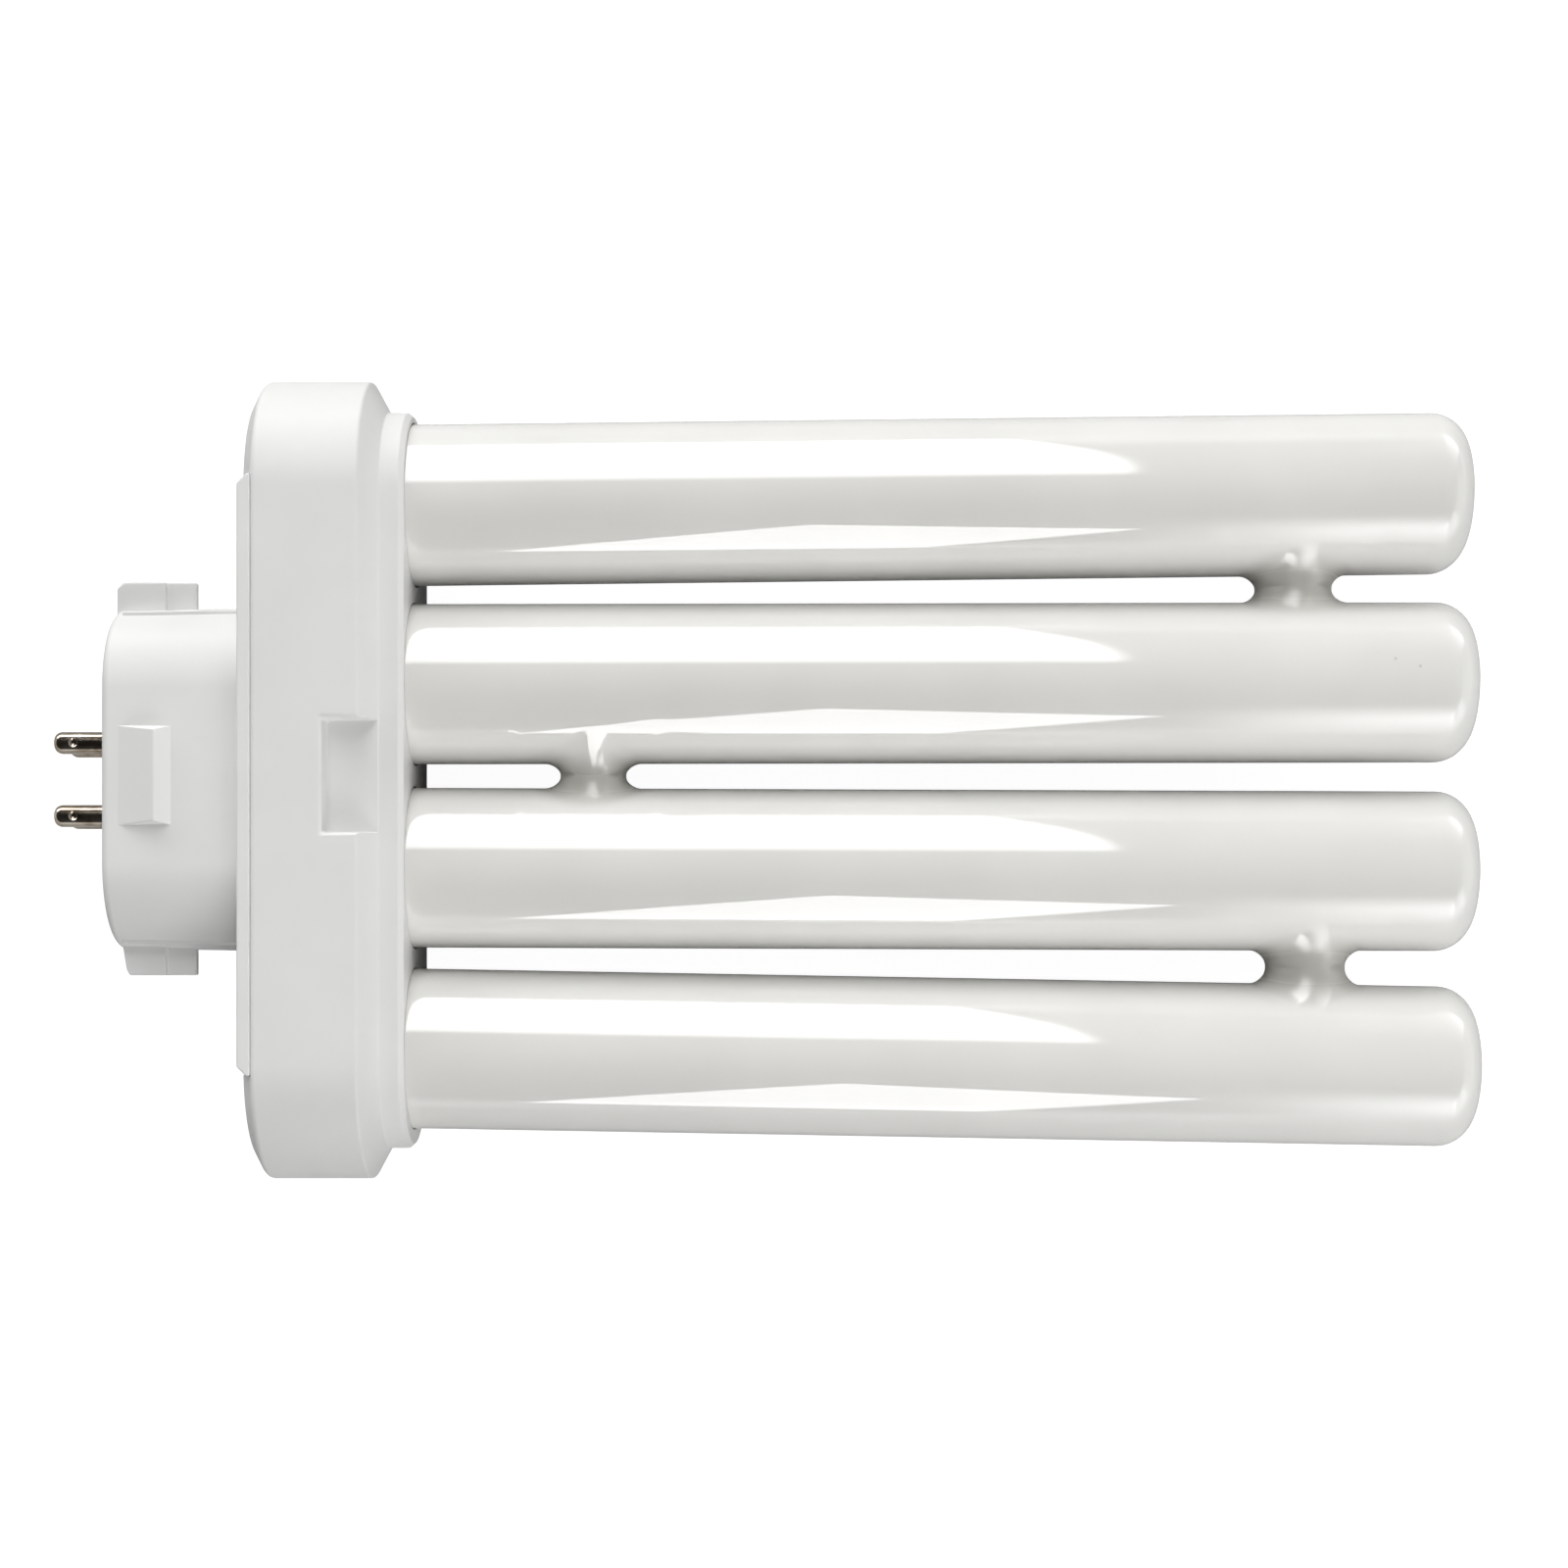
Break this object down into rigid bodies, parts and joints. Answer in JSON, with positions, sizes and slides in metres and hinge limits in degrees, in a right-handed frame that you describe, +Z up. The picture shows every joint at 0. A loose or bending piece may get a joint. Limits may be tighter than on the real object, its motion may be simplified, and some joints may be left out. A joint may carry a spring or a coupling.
{
  "type": "compact fluorescent lamp",
  "caption": "Flat plug-in compact fluorescent lamp: parallel white-coated glass tubes joined by short glass bridges, in an oblong white holder with a keyed plug base and contact pins.",
  "frame": {"origin": "Under the middle of the lamp, on the surface that it lies on with one broad face of its holder down", "axes": "+X along the tubes from the plug to their free ends, +Y across the tubes in their common plane, +Z up through the broad faces"},
  "size_m": [0.1546, 0.087, 0.026],
  "materials": {
    "coated_glass": "clear glass over a white inner coating, glossy",
    "holder_plastic": "white, satin, fine moulded grain",
    "base_plastic": "white, satin, fine moulded grain",
    "cement": "off-white, matte",
    "pin_metal": "plated and polished",
    "wire_metal": "bare drawn wire"
  },
  "bodies": {
    "root": {"glass_vessel": "coated_glass", "tube_holder": "holder_plastic", "base_cap": "base_plastic", "basing_cement": "cement", "contact_pin_1": "pin_metal", "contact_pin_2": "pin_metal", "contact_pin_3": "pin_metal", "contact_pin_4": "pin_metal", "lead_wire_1": "wire_metal", "lead_wire_2": "wire_metal", "lead_wire_3": "wire_metal", "lead_wire_4": "wire_metal"}
  },
  "joints": []
}
